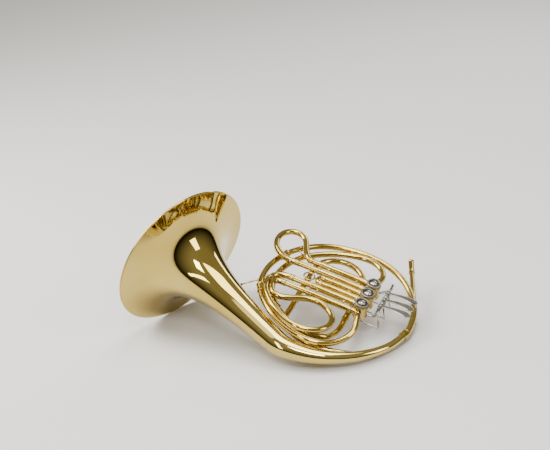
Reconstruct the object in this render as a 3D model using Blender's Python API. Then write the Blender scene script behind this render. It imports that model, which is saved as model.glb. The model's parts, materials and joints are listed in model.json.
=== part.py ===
"""A single french horn with three rotary valves, built as separate pieces.

Everything is laid out in the horn's own frame, in millimetres: the big ring of tubing lies in XY
with its centre at the origin, the valve caps face +Z and the bell opens towards -X. The empty
"horn_frame" then turns and lifts the whole horn onto the surface it lies on.
"""
import math

import bmesh
import bpy
import numpy as np
from mathutils import Matrix, Vector

MM = 0.001

# --- how the horn lies on a table, on the bell's rim and the mouthpipe: a turn about X, then Y ---
LIE_ROLL = math.radians(0.68)
LIE_PITCH = math.radians(18.95)

# --- tubing ---
TUBE_R = 6.0            # main tubing
LEAD_R = 5.0            # mouthpipe
SLEEVE_R = 6.5          # outer slide tubes
SLEEVE_BORE = 5.95
LEG_R = 5.6             # inner slide tubes
FERRULE_LENGTH = 20.0
SIDES = 12
SAG = 0.3               # most that a swept tube's straight facets leave its true curve
END_GAP = 0.25          # half of the gap where two tubes meet end to end
TAIL_GAP = 0.8          # the same at the wide end of the bell's tail

# --- bell ---
RIM_R = 152.0
RIM_X = -276.0
BELL_WALL = 0.7
FLARE_KNEE = 22.0       # millimetres behind the rim where the flare's power law starts
FLARE_POWER = 0.72
BELL_AXIS_RIM = Vector((RIM_X, -160.0, 0.0))
BELL_AXIS_THROAT = Vector((0.0, -162.0, -8.0))
BEAD_R = 2.0
TAIL_EASE = 0.06        # share of the tail over which it takes up its own taper

# --- heights of the layers of tubing ---
RING_Z = 13.0
INNER_Z = 12.0
TUNING_Z = -2.0
LEAD_Z = -3.0
PORT_Z = 29.0

# --- valve section, turned by VALVE_TURN about Z ---
VALVE_TURN = math.radians(22.0)
VALVE_X = 56.0
VALVE_Y = (41.0, 9.5, -22.0)
CASING_R = 14.5
CASING_BORE = 12.3
CASING_Z = (15.0, 43.0)
ROTOR_R = 11.9
SHAFT_R = 3.0
PIN_RADIUS = 5.0        # from the rotor's axis to the stop arm's pin
ARM_Z = (5.9, 8.9)
SLIDE_Y = ((52.6, 32.6), (17.6, 1.6), (-12.9, -33.4))
SLEEVE_START = 40.6
SLEEVE_END = (-58.0, -22.0, -52.0)
LEG_INNER = (-8.0, 32.0, -14.0)

# --- levers ---
HINGE_X = 86.5
HINGE_Z = 32.0
HINGE_Y = (-15.0, 66.0)
HINGE_R = 2.0
LEVER_Y = (45.5, 24.5, 4.5)
LEVER_TIP_X = 147.0
BALL_X = 98.0
BALL_Z = 3.0
LINK_R = 1.3

# --- tuning slide: two parallel legs, joined by a half-round crook ---
TUNING_TURN = math.radians(-65.0)
TUNING_OFFSET = -21.0
TUNING_R = 52.0
CROOK_AT = -68.0
TUNING_SLEEVE = (-40.0, 34.0)

BRASS = ("lacquered_brass", (0.70, 0.47, 0.14), 0.22)
NICKEL = ("nickel_silver", (0.60, 0.57, 0.50), 0.28)
STEEL = ("spring_steel", (0.42, 0.41, 0.40), 0.35)


def clear_scene():
    for obj in list(bpy.data.objects):
        bpy.data.objects.remove(obj, do_unlink=True)


def material(finish):
    name, colour, roughness = finish
    mat = bpy.data.materials.get(name) or bpy.data.materials.new(name)
    mat.use_nodes = True
    shader = mat.node_tree.nodes["Principled BSDF"]
    shader.inputs["Base Color"].default_value = (*colour, 1.0)
    shader.inputs["Metallic"].default_value = 1.0
    shader.inputs["Roughness"].default_value = roughness
    mat.diffuse_color = (*colour, 1.0)
    return mat


def polar(degrees, radius, z):
    """A point of the ring, by its angle and radius."""
    angle = math.radians(degrees)
    return Vector((radius * math.cos(angle), radius * math.sin(angle), z))


def valve(x, y, z):
    """A point given in the valve section's turned frame."""
    return Matrix.Rotation(VALVE_TURN, 3, "Z") @ Vector((x, y, z))


def tuning(along, across, z=TUNING_Z):
    """A point given along and across the tuning slide's legs."""
    return Matrix.Rotation(TUNING_TURN, 3, "Z") @ Vector((along, across + TUNING_OFFSET, z))


def arc(place, centre, radius, start, end, z, step=15.0):
    """Points of a circular arc in one of the turned frames, both ends included."""
    count = max(2, round(abs(end - start) / step))
    angles = [math.radians(start + (end - start) * i / count) for i in range(count + 1)]
    return [place(centre[0] + radius * math.cos(a), centre[1] + radius * math.sin(a), z) for a in angles]


def smooth(points, start_dir=None, end_dir=None, step=4.0):
    """A cubic spline through the points, sampled every few millimetres."""
    pts = np.array([tuple(p) for p in points], dtype=float)
    knots = np.r_[0.0, np.cumsum(np.linalg.norm(np.diff(pts, axis=0), axis=1))]
    gaps = np.diff(knots)
    count = len(pts)
    system = np.zeros((count, count))
    right = np.zeros((count, 3))
    for i in range(1, count - 1):
        system[i, i - 1:i + 2] = (gaps[i], 2.0 * (gaps[i - 1] + gaps[i]), gaps[i - 1])
        right[i] = 3.0 * (gaps[i] * (pts[i] - pts[i - 1]) / gaps[i - 1]
                          + gaps[i - 1] * (pts[i + 1] - pts[i]) / gaps[i])
    system[0, :2] = (1.0, 0.0) if start_dir is not None else (2.0, 1.0)
    right[0] = start_dir if start_dir is not None else 3.0 * (pts[1] - pts[0]) / gaps[0]
    system[-1, -2:] = (0.0, 1.0) if end_dir is not None else (1.0, 2.0)
    right[-1] = end_dir if end_dir is not None else 3.0 * (pts[-1] - pts[-2]) / gaps[-1]
    slopes = np.linalg.solve(system, right)
    path = []
    for i, gap in enumerate(gaps):
        pieces = max(1, round(gap / step))
        for k in range(pieces):
            t = k / pieces
            h1 = 2 * t ** 3 - 3 * t ** 2 + 1
            h2 = t ** 3 - 2 * t ** 2 + t
            h3 = 3 * t ** 2 - 2 * t ** 3
            h4 = t ** 3 - t ** 2
            path.append(Vector(h1 * pts[i] + h2 * gap * slopes[i]
                               + h3 * pts[i + 1] + h4 * gap * slopes[i + 1]))
    return path + [Vector(pts[-1])]


def lengths(path):
    total = [0.0]
    for a, b in zip(path, path[1:]):
        total.append(total[-1] + (b - a).length)
    return total


def trimmed(path, gap=END_GAP):
    """The path, shortened a little at both ends so that neighbours don't touch."""
    first = path[0] + (path[1] - path[0]).normalized() * gap
    last = path[-1] + (path[-2] - path[-1]).normalized() * gap
    return [first] + path[1:-1] + [last]


def stations(path):
    """The places on the path that keep it true to SAG: each has its point, heading and share of the way."""
    along = lengths(path)
    kept = {0, len(path) - 1}

    def split(first, last):
        chord = (path[last] - path[first]).normalized()
        sags = [((path[i] - path[first]).cross(chord).length, i) for i in range(first + 1, last)]
        if sags and max(sags)[0] > SAG:
            middle = max(sags)[1]
            kept.add(middle)
            split(first, middle)
            split(middle, last)
    split(0, len(path) // 2)
    split(len(path) // 2, len(path) - 1)
    kept.add(len(path) // 2)
    result = []
    for i in sorted(kept):
        heading = (path[min(i + 1, len(path) - 1)] - path[max(i - 1, 0)]).normalized()
        result.append((path[i], heading, along[i] / along[-1]))
    return result


def new_object(name, mesh_builder, finish, parent, smooth_angle=40.0):
    mesh = bpy.data.meshes.new(name)
    bm = bmesh.new()
    mesh_builder(bm)
    bmesh.ops.transform(bm, matrix=Matrix.Scale(MM, 4), verts=bm.verts)
    bmesh.ops.recalc_face_normals(bm, faces=bm.faces)
    bm.to_mesh(mesh)
    bm.free()
    mesh.materials.append(material(finish))
    mesh.shade_smooth()
    mesh.set_sharp_from_angle(angle=math.radians(smooth_angle))
    obj = bpy.data.objects.new(name, mesh)
    bpy.context.collection.objects.link(obj)
    obj.parent = parent
    return obj


def ring_of_verts(bm, centre, normal, side, radius, sides):
    up = normal.cross(side).normalized()
    verts = []
    for k in range(sides):
        angle = 2.0 * math.pi * k / sides
        offset = side * radius * math.cos(angle) + up * radius * math.sin(angle)
        verts.append(bm.verts.new(centre + offset))
    return verts


def framed(path):
    """Each station with a side direction that is carried along without twisting."""
    side = None
    result = []
    for point, heading, share in stations(path):
        if side is None:
            side = Vector((0, 0, 1)).cross(heading)
            if side.length < 0.1:
                side = Vector((1, 0, 0))
        side = (side - heading * side.dot(heading)).normalized()
        result.append((point, heading, side, share))
    return result


def skin(bm, rings, closed=False):
    """Bridge neighbouring rings of vertices with faces."""
    count = len(rings)
    for i in range(count if closed else count - 1):
        a, b = rings[i], rings[(i + 1) % count]
        for k in range(len(a)):
            m = (k + 1) % len(a)
            bm.faces.new((a[k], a[m], b[m], b[k]))


def rod(path, radius, sides=SIDES):
    """A builder for a closed round bar. The radius is a number, or a function of 0 to 1 along it."""
    radius_at = radius if callable(radius) else (lambda share: radius)

    def build(bm):
        rings = [ring_of_verts(bm, point, heading, side, radius_at(share), sides)
                 for point, heading, side, share in framed(path)]
        skin(bm, rings)
        bm.faces.new(list(reversed(rings[0])))
        bm.faces.new(rings[-1])
    return build


def pipe(path, outer, inner, sides=SIDES):
    """A builder for an open tube with a wall."""
    def build(bm):
        places = framed(path)
        rings = [ring_of_verts(bm, point, heading, side, outer, sides) for point, heading, side, _ in places]
        rings += [ring_of_verts(bm, point, heading, side, inner, sides)
                  for point, heading, side, _ in reversed(places)]
        skin(bm, rings, closed=True)
    return build


def turned(origin, axis, profile, sides=32, side=Vector((1, 0, 0))):
    """A builder for a turned piece: profile points are (distance along the axis, radius).

    The profile runs round the wall and closes on itself, or ends on the axis at both ends."""
    axis = axis.normalized()
    side = (side - axis * side.dot(axis)).normalized()

    def build(bm):
        rings = []
        for along, radius in profile:
            centre = origin + axis * along
            rings.append([bm.verts.new(centre)] if radius == 0 else
                         ring_of_verts(bm, centre, axis, side, radius, sides))
        pairs = list(zip(rings, rings[1:]))
        if len(rings[0]) > 1:
            pairs.append((rings[-1], rings[0]))
        for a, b in pairs:
            for k in range(sides):
                m = (k + 1) % sides
                corners = [a[k % len(a)], a[m % len(a)], b[m % len(b)], b[k % len(b)]]
                bm.faces.new(list(dict.fromkeys(corners)))
    return build


def as_tool(obj):
    obj.hide_render = True
    obj.display_type = "WIRE"


def combine(target, tools, operation):
    for tool in tools:
        as_tool(tool)
        step = target.modifiers.new(tool.name, "BOOLEAN")
        step.operation = operation
        step.object = tool


# ------------------------------------------------------------------ bell

def flare_radius(behind_rim):
    """The bell's outer radius, a power law that opens quickly at the rim."""
    return RIM_R * (FLARE_KNEE / (behind_rim + FLARE_KNEE)) ** FLARE_POWER


def tail_radius(t):
    """The tail narrows from the throat to the first branch, at first as slowly as the flare does."""
    narrow = TUBE_R + 1.0
    wide = flare_radius(BELL_AXIS_THROAT.x - RIM_X)
    eased = t * t / (t + TAIL_EASE) * (1.0 + TAIL_EASE)
    return narrow * (wide / narrow) ** ((1.0 - 0.4 * t - 0.6 * eased) ** 1.3)


def build_bell(horn):
    axis = BELL_AXIS_THROAT - BELL_AXIS_RIM
    length = axis.length
    behind = [0, 3, 7, 12, 19, 28, 40, 56, 76, 100, 130, 165, 200, 240, length]
    outer = [(d, flare_radius(d)) for d in behind]
    inner = [(d, flare_radius(d) - BELL_WALL) for d in reversed(behind)]
    new_object("bell_flare", turned(BELL_AXIS_RIM, axis, outer + inner, sides=40), BRASS, horn)
    bead = []
    for k in range(8):
        angle = 2.0 * math.pi * k / 8
        bead.append((-BEAD_R - 0.3 + BEAD_R * math.cos(angle), RIM_R - BEAD_R * math.sin(angle)))
    new_object("bell_rim_bead", turned(BELL_AXIS_RIM, axis, bead, sides=40), BRASS, horn)
    tail = smooth([BELL_AXIS_THROAT, polar(-75, 157.5, -6), polar(-60, 153, -2), polar(-45, 150, 2.5),
                   polar(-30, 149.3, 6), polar(-18, 149.5, 8.5), polar(-3, 151, 11), polar(13, 152, INNER_Z)],
                  start_dir=axis.normalized())
    new_object("bell_tail", rod(trimmed(tail, TAIL_GAP), tail_radius), BRASS, horn)
    return tail


# ------------------------------------------------------------------ fixed tubing

def ferrule(name, horn, joint, radius=TUBE_R, length=FERRULE_LENGTH):
    """A sleeve soldered over a joint: joint is the two points it runs between."""
    middle = (joint[0] + joint[1]) / 2.0
    axis = (joint[1] - joint[0]).normalized()
    outer = radius + 1.7
    bore = radius + 0.9
    profile = [(-length / 2, bore), (-length / 2, outer + 0.5), (-length / 2 + 2, outer + 0.5),
               (-length / 2 + 3, outer), (length / 2 - 3, outer), (length / 2 - 2, outer + 0.5),
               (length / 2, outer + 0.5), (length / 2, bore)]
    return new_object(name, turned(middle, axis, profile, sides=SIDES, side=Vector((0, 0, 1))), BRASS, horn)


def build_ring(horn, tail):
    outlet = smooth([valve(VALVE_X, VALVE_Y[2] - 15.3, PORT_Z), Vector((75, -26, 27.5)),
                     Vector((87, -44, 22)), Vector((89, -66, 16)), Vector((82, -90, RING_Z)), polar(-58, 131, RING_Z),
                     polar(-71, 135, RING_Z), polar(-86, 136.5, RING_Z), polar(-101, 139.5, 14),
                     polar(-114, 142, 14), polar(-127, 146.5, RING_Z), polar(-136, 149.5, RING_Z)],
                    start_dir=valve(0.25, -1, 0))
    new_object("valve_outlet_tube", rod(trimmed(outlet), TUBE_R), BRASS, horn)
    left = smooth([polar(-136, 149.5, RING_Z), polar(-146, 151.5, RING_Z), polar(-158, 152, RING_Z),
                   polar(-169, 151.5, RING_Z), polar(180, 151, RING_Z)],
                  start_dir=(outlet[-1] - outlet[-2]).normalized(), end_dir=Vector((0, 1, 0)))
    new_object("second_branch", rod(trimmed(left), TUBE_R), BRASS, horn)
    first = smooth([polar(180, 151, RING_Z), polar(163, 150, RING_Z), polar(147, 150, INNER_Z),
                    polar(130, 148.5, INNER_Z), polar(115, 148, INNER_Z), polar(99, 149.5, INNER_Z),
                    polar(84, 151.5, INNER_Z), polar(69, 151.5, INNER_Z), polar(55, 151, INNER_Z),
                    polar(40, 151.5, INNER_Z), polar(26, 152, INNER_Z), polar(13, 152, INNER_Z)],
                   start_dir=Vector((0, 1, 0)), end_dir=(tail[-2] - tail[-1]).normalized())
    new_object("first_branch", rod(trimmed(first), lambda t: TUBE_R + t * 0.9), BRASS, horn)
    ferrule("outlet_ferrule", horn, (outlet[-2], left[1]))
    ferrule("branch_ferrule", horn, (left[-2], first[1]))
    ferrule("bell_ferrule", horn, (first[-2], tail[-2]), radius=TUBE_R + 1.0, length=16.0)
    return left, first


def build_lead(horn):
    """The mouthpipe: receiver, straight run, and the long pass round the ring to the tuning slide."""
    mouth = Vector((4, 218, LEAD_Z))
    meets = polar(51, 156.5, LEAD_Z)
    straight = (meets - mouth).normalized()
    receiver = [(0, 4.6), (0, 6.2), (3, 6.6), (5, 5.9), (30, 5.9), (32, 6.3), (38, 6.3), (38, LEAD_R + 0.35),
                (32.6, LEAD_R + 0.35), (32.6, 3.6), (24, 3.6)]
    new_object("mouthpiece_receiver", turned(mouth, straight, receiver, sides=16), BRASS, horn)
    run = smooth([mouth + straight * 33.2, mouth.lerp(meets, 0.6), meets, polar(36, 153.5, LEAD_Z)],
                 start_dir=straight)
    new_object("mouthpipe", rod(trimmed(run), lambda t: LEAD_R - 0.6 * max(0.0, 0.35 - t)), BRASS, horn)
    low = smooth([polar(36, 153.5, LEAD_Z), polar(20, 150, LEAD_Z), polar(6, 146, LEAD_Z),
                  polar(-8, 142, LEAD_Z),
                  polar(-20, 138.5, LEAD_Z), polar(-35, 133, LEAD_Z), polar(-50, 129, LEAD_Z),
                  polar(-65, 127, -3.5), polar(-80, 126, -4.5), polar(-91, 122.5, -4),
                  tuning(88, -TUNING_R + 1, -3), tuning(TUNING_SLEEVE[1] + 24, -TUNING_R),
                  tuning(TUNING_SLEEVE[1], -TUNING_R)],
                 start_dir=(run[-1] - run[-2]).normalized(), end_dir=tuning(-1, 0, 0) - tuning(0, 0, 0))
    new_object("lead_tube", rod(trimmed(low), lambda t: LEAD_R + 0.9 * min(1.0, t * 1.6)), BRASS, horn)
    ferrule("mouthpipe_ferrule", horn, (run[-2], low[1]), radius=LEAD_R, length=14.0)


def build_tuning(horn):
    crook = arc(tuning, (CROOK_AT, 0.0), TUNING_R, 270.0, 90.0, TUNING_Z)
    leg_a = tuning(TUNING_SLEEVE[1] - 12, -TUNING_R)
    leg_b = tuning(TUNING_SLEEVE[1] - 12, TUNING_R)
    bow = smooth(crook, start_dir=(crook[0] - leg_a).normalized(), end_dir=(leg_b - crook[-1]).normalized())
    path = [leg_a] + bow + [leg_b]
    new_object("tuning_slide", rod(path, LEG_R), BRASS, horn)
    for name, across in (("tuning_sleeve_lead", -TUNING_R), ("tuning_sleeve_outlet", TUNING_R)):
        line = [tuning(TUNING_SLEEVE[0], across), tuning(TUNING_SLEEVE[1] - END_GAP, across)]
        new_object(name, pipe(line, SLEEVE_R, SLEEVE_BORE), BRASS, horn)


def build_inlet(horn):
    bow = smooth([tuning(TUNING_SLEEVE[1], TUNING_R), tuning(TUNING_SLEEVE[1] + 12, TUNING_R),
                  Vector((60, -70, 2)), Vector((58, -88, 6)), Vector((45, -105, 10)), polar(-77, 119, INNER_Z),
                  polar(-90, 121, INNER_Z), polar(-103, 122, INNER_Z), polar(-118, 124, INNER_Z)],
                 start_dir=tuning(1, 0, 0) - tuning(0, 0, 0))
    new_object("slide_outlet_bow", rod(trimmed(bow), TUBE_R), BRASS, horn)
    inlet = smooth([polar(-118, 124, INNER_Z), polar(-132, 126, INNER_Z), polar(-147, 127.5, INNER_Z),
                    polar(-163, 128, INNER_Z), polar(180, 127, INNER_Z), polar(167, 126.5, 12.5),
                    Vector((-110, 55, 14.5)), Vector((-86, 86, 17.5)), Vector((-58, 109, 20.5)),
                    Vector((-28, 122, 23.5)), Vector((-2, 121, 26)), Vector((17, 110, 28)),
                    Vector((28, 91, PORT_Z)), valve(VALVE_X, VALVE_Y[0] + 14.9, PORT_Z)],
                   start_dir=(bow[-1] - bow[-2]).normalized(), end_dir=valve(0.1, -1, 0))
    new_object("valve_inlet_tube", rod(trimmed(inlet), TUBE_R), BRASS, horn)
    ferrule("inlet_ferrule", horn, (bow[-2], inlet[1]))
    return inlet


# ------------------------------------------------------------------ valve section

def build_valve(horn, k):
    number = k + 1
    centre = valve(VALVE_X, VALVE_Y[k], 0.0)
    up = Vector((0, 0, 1))
    low, high = CASING_Z
    side = valve(1, 0, 0)
    casing = new_object(f"valve_casing_{number}", turned(centre, up, [
        (low, CASING_BORE), (low, CASING_R), (high, CASING_R), (high, CASING_BORE)], 24, side), BRASS, horn)
    ports = []
    for j, y in enumerate(SLIDE_Y[k]):
        start = valve(VALVE_X - 7.0, y, PORT_Z)
        end = valve(SLEEVE_START + 0.3, y, PORT_Z)
        ports.append(new_object(f"tool_port_{number}_{j}", rod([start, end], SLEEVE_R - 0.2), BRASS, horn))
    combine(casing, ports, "UNION")
    bore = new_object(f"tool_bore_{number}", turned(centre, up, [
        (low - 1, 0), (low - 1, CASING_BORE), (high + 1, CASING_BORE), (high + 1, 0)], 24, side), BRASS, horn)
    combine(casing, [bore], "DIFFERENCE")
    pivot = bpy.data.objects.new(f"rotor_axis_{number}", None)
    bpy.context.collection.objects.link(pivot)
    pivot.parent = horn
    pivot.location = centre * MM
    origin = Vector((0, 0, 0))
    rotor = new_object(f"rotor_{number}", turned(origin, up, [
        (9.2, 0), (9.2, SHAFT_R), (low + 1, SHAFT_R), (low + 1, ROTOR_R), (high - 0.8, ROTOR_R),
        (high - 0.8, 0)], 24, side), STEEL, pivot)
    channels = []
    for j, y in enumerate((-10.0, 10.0)):
        line = [valve(-20, y, PORT_Z), valve(20, y, PORT_Z)]
        channels.append(new_object(f"tool_channel_{number}_{j}", rod(line, 5.5), STEEL, pivot))
    combine(rotor, channels, "DIFFERENCE")
    new_object(f"valve_cap_{number}", turned(centre, up, [
        (high + 0.3, 0), (high + 0.3, 13.6), (high + 4.2, 13.6), (high + 5.2, 12.8), (high + 5.2, 10.6),
        (high + 3.9, 10.0), (high + 3.9, 7.0), (high + 4.6, 6.4), (high + 6.4, 3.6), (high + 7.0, 0)],
        24, side), NICKEL, horn)
    new_object(f"bearing_plate_{number}", turned(centre, up, [
        (low - 2.8, SHAFT_R + 0.4), (low - 2.8, 11.5), (low - 0.3, CASING_R), (low - 0.3, SHAFT_R + 0.4)],
        24, side), NICKEL, horn)
    build_stop_arm(number, pivot)


def build_stop_arm(number, pivot):
    """A hub under the rotor with an arm that ends at the link's pin."""
    pin = valve(PIN_RADIUS * math.sin(math.radians(45)), -PIN_RADIUS * math.cos(math.radians(45)), 0)
    across = Vector((-pin.y, pin.x, 0)).normalized()
    outward = pin.normalized()

    def build(bm):
        outline = []
        for i in range(9):
            angle = math.radians(90 + 180 * i / 8)
            outline.append(outward * 5.0 * math.cos(angle) + across * 5.0 * math.sin(angle))
        for i in range(7):
            angle = math.radians(-90 + 180 * i / 6)
            outline.append(outward * (PIN_RADIUS + 3.0 * math.cos(angle)) + across * 3.0 * math.sin(angle))
        low = [bm.verts.new(p + Vector((0, 0, ARM_Z[0]))) for p in outline]
        high = [bm.verts.new(p + Vector((0, 0, ARM_Z[1]))) for p in outline]
        skin(bm, [low, high])
        bm.faces.new(list(reversed(low)))
        bm.faces.new(high)
    new_object(f"stop_arm_{number}", build, NICKEL, pivot)


def build_slides(horn):
    names = ("first", "second", "third")
    for k, name in enumerate(names):
        for side, y in zip(("upper", "lower"), SLIDE_Y[k]):
            line = [valve(SLEEVE_START, y, PORT_Z), valve(SLEEVE_END[k], y, PORT_Z)]
            new_object(f"{name}_sleeve_{side}", pipe(line, SLEEVE_R, SLEEVE_BORE), BRASS, horn)
    build_slide(horn, 0, "first_valve_slide", -80.0, -101.0, [
        Vector((-112, 24, PORT_Z)), Vector((-127, 36, PORT_Z)), Vector((-140, 48, PORT_Z)),
        Vector((-155, 56, PORT_Z)), Vector((-171, 56, PORT_Z)), Vector((-183, 46, PORT_Z)),
        Vector((-188, 30, PORT_Z)), Vector((-184, 12, PORT_Z)), Vector((-173, -3, PORT_Z)),
        Vector((-157, -13, PORT_Z)), Vector((-138, -17, PORT_Z)), Vector((-119, -14.5, PORT_Z))])
    upper, lower = SLIDE_Y[1]
    middle = (upper + lower) / 2.0
    build_slide(horn, 1, "second_valve_slide", -38.0, -38.0,
                arc(valve, (-38.0, middle), (upper - lower) / 2.0, 90.0, 270.0, PORT_Z)[1:-1])
    ring = arc(valve, (-66.0, middle), 10.6, 0.0, 360.0, PORT_Z, step=24.0)[:-1]

    def build_ring_mesh(bm):
        rings = []
        for i, point in enumerate(ring):
            ahead = ring[(i + 1) % len(ring)]
            behind = ring[i - 1]
            heading = (ahead - behind).normalized()
            rings.append(ring_of_verts(bm, point, heading, Vector((0, 0, 1)), 1.6, 8))
        skin(bm, rings, closed=True)
    new_object("pull_ring", build_ring_mesh, NICKEL, horn)
    loop = [(-100, -58), (-106.5, -70), (-106.5, -84), (-100, -97.5), (-89, -109.5), (-75, -118.5), (-57, -126),
            (-40, -130.5), (-21, -134), (-3, -135), (16, -132), (33, -124), (47, -111), (55, -94), (54, -77),
            (46, -63.5), (33, -54.5), (17, -50.5), (0, -51.5), (-13, -57), (-25, -67), (-38, -83), (-51, -97),
            (-63, -104), (-76, -103.5), (-86, -97), (-93, -88.5), (-94, -79.5)]
    build_slide(horn, 2, "third_valve_slide", -92.0, -100.0, [Vector((x, y, PORT_Z)) for x, y in loop])


def build_slide(horn, k, name, upper_end, lower_end, bend):
    """A valve slide: two straight inner legs and the bend that joins them."""
    upper, lower = SLIDE_Y[k]
    along = valve(-1, 0, 0)
    first = valve(upper_end, upper, PORT_Z)
    last = valve(lower_end, lower, PORT_Z)
    curve = smooth([first] + bend + [last], start_dir=along, end_dir=-along)
    path = [valve(LEG_INNER[k], upper, PORT_Z)] + curve + [valve(LEG_INNER[k], lower, PORT_Z)]
    new_object(name, rod(path, LEG_R), BRASS, horn)


# ------------------------------------------------------------------ levers

def build_levers(horn):
    hinge = [valve(HINGE_X, HINGE_Y[0], HINGE_Z), valve(HINGE_X, HINGE_Y[1], HINGE_Z)]
    new_object("hinge_rod", rod(hinge, HINGE_R, sides=12), STEEL, horn)
    lower = HINGE_Y[0] - 2.8
    upper = HINGE_Y[1] + 2.8
    routes = {
        "hinge_post_lower": [(VALVE_X + CASING_R + 0.6, lower - 2, 19), (78, lower - 1, 19)],
        "hinge_post_upper": [(VALVE_X + CASING_R - 2, VALVE_Y[0] + 9.5, 19), (77, upper - 9, 19)],
    }
    for name, y in (("hinge_post_lower", lower), ("hinge_post_upper", upper)):
        foot = [valve(*point) for point in routes[name]]
        head = [valve(HINGE_X, y, z) for z in (24, 30, 36)]
        new_object(name, rod(smooth(foot + head), 2.4, sides=10), NICKEL, horn)
    for k in range(3):
        build_lever(horn, k)


def build_lever(horn, k):
    number = k + 1
    y = LEVER_Y[k]
    pivot = bpy.data.objects.new(f"lever_axis_{number}", None)
    bpy.context.collection.objects.link(pivot)
    pivot.parent = horn
    pivot.location = valve(HINGE_X, y, HINGE_Z) * MM
    tube = [valve(0, -5.5, 0), valve(0, 5.5, 0)]
    lever = new_object(f"lever_{number}", rod(tube, 4.2, sides=16), NICKEL, pivot)
    reach = LEVER_TIP_X - HINGE_X
    spine = smooth([valve(2, 0, 0), valve(reach * 0.3, 0, 3.0), valve(reach * 0.6, 0, 4.5),
                    valve(reach * 0.85, 0, 4.0), valve(reach, 0, 2.5)])

    def width(t):
        shoulder = 3.6 + 4.4 * math.sin(math.pi * min(1.0, max(0.0, (t - 0.25) / 1.35)))
        return shoulder * math.sqrt(max(0.03, 1.0 - max(0.0, (t - 0.86) / 0.14) ** 2))
    spatula = new_object(f"tool_spatula_{number}", flat_bar(spine, width, 1.1), NICKEL, pivot)
    ball_y = VALVE_Y[k] - PIN_RADIUS * math.cos(math.radians(45)) - y
    knee = [valve(0, 0, -2), valve(3, ball_y * 0.35, -8), valve(8.5, ball_y * 0.9, -18),
            valve(BALL_X - HINGE_X, ball_y, BALL_Z - HINGE_Z + 4.8)]
    arm = new_object(f"tool_arm_{number}", rod(smooth(knee), 1.8, sides=8), NICKEL, pivot)
    combine(lever, [spatula, arm], "UNION")
    bore = new_object(f"tool_hinge_bore_{number}", rod([valve(0, -9, 0), valve(0, 9, 0)], 2.4, sides=16),
                      NICKEL, pivot)
    combine(lever, [bore], "DIFFERENCE")
    spring_y = y - 10.5
    coil = [valve(HINGE_X, spring_y - 3.4, HINGE_Z), valve(HINGE_X, spring_y + 3.4, HINGE_Z)]
    new_object(f"lever_spring_{number}", pipe(coil, 3.6, 2.5), STEEL, horn)
    link_y = y + ball_y
    start = valve(VALVE_X + PIN_RADIUS * math.sin(math.radians(45)), link_y, 3.4)
    end = valve(BALL_X, link_y, BALL_Z)
    link = new_object(f"link_rod_{number}", turned(start, Vector((0, 0, 1)), [
        (-1.9, 0), (-1.9, 3.0), (1.9, 3.0), (1.9, 0)], 12), NICKEL, horn)
    shank = new_object(f"tool_shank_{number}", rod([start, end], LINK_R, sides=8), NICKEL, horn)
    ball = new_object(f"tool_ball_{number}", turned(end, Vector((0, 0, 1)), [
        (-2.3, 0), (-1.6, 1.9), (0, 2.6), (1.6, 1.9), (2.3, 0)], 12), NICKEL, horn)
    combine(link, [shank, ball], "UNION")


def flat_bar(path, width, half_thickness):
    """A builder for a flat bar whose half width changes along its path."""
    def build(bm):
        count = 12
        along = lengths(path)
        rings = []
        for i in range(count + 1):
            t = i / count
            j = min(range(len(path)), key=lambda n: abs(along[n] / along[-1] - t))
            heading = (path[min(j + 1, len(path) - 1)] - path[max(j - 1, 0)]).normalized()
            side = valve(0, 1, 0)
            up = heading.cross(side).normalized()
            half = width(t)
            corners = ((-1, -0.4), (-0.9, 1), (0.9, 1), (1, -0.4), (0.8, -1), (-0.8, -1))
            rings.append([bm.verts.new(path[j] + side * half * a - up * half_thickness * b)
                          for a, b in corners])
        skin(bm, rings)
        bm.faces.new(list(reversed(rings[0])))
        bm.faces.new(rings[-1])
    return build


# ------------------------------------------------------------------ braces

def brace(name, horn, start, end, radius=1.6, foot=4.0):
    """A turned stay: a slim bar with a flared foot at each end."""
    axis = end - start
    length = axis.length
    profile = [(0, 0), (0, foot), (1.2, foot * 0.8), (3.0, radius), (length - 3.0, radius),
               (length - 1.2, foot * 0.8), (length, foot), (length, 0)]
    new_object(name, turned(start, axis, profile, sides=10), BRASS, horn)


def between(a, b, radius_a, radius_b, gap):
    """The two ends of a stay that spans the space between two round tubes."""
    way = (b - a).normalized()
    return a + way * (radius_a + gap), b - way * (radius_b + gap)


def nearest(path, point):
    return min(path, key=lambda p: (p - point).length)


def build_braces(horn, left, first, inlet):
    spans = (("ring_brace_left", first, 166.0), ("ring_brace_lower", left, -146.0),
             ("ring_brace_upper", first, 122.0))
    for name, outer, degrees in spans:
        start = nearest(outer, polar(degrees, 150, RING_Z))
        start, end = between(start, nearest(inlet, start), TUBE_R, TUBE_R, 0.5)
        brace(name, horn, start, end, foot=3.2)
    throat = BELL_AXIS_RIM.lerp(BELL_AXIS_THROAT, 0.50)
    outward = Vector((0.0, math.cos(math.radians(25.0)), math.sin(math.radians(25.0))))
    foot = throat + outward * (flare_radius(throat.x - RIM_X) + 1.6)
    tube = nearest(left, polar(-146, 151, 13))
    wire = [tube + (foot - tube).normalized() * (TUBE_R + 3.6), foot]
    new_object("bell_brace", rod(wire, 1.4, sides=8), BRASS, horn)


def set_down(horn):
    """Shift the horn so that the middle of its box's underside is the origin."""
    bpy.context.view_layer.update()
    corners = [obj.matrix_world @ vert.co for obj in bpy.data.objects
               if obj.type == "MESH" and not obj.hide_render for vert in obj.data.vertices]
    low = [min(c[i] for c in corners) for i in range(3)]
    high = [max(c[i] for c in corners) for i in range(3)]
    horn.location = (-(low[0] + high[0]) / 2.0, -(low[1] + high[1]) / 2.0, -low[2])


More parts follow.
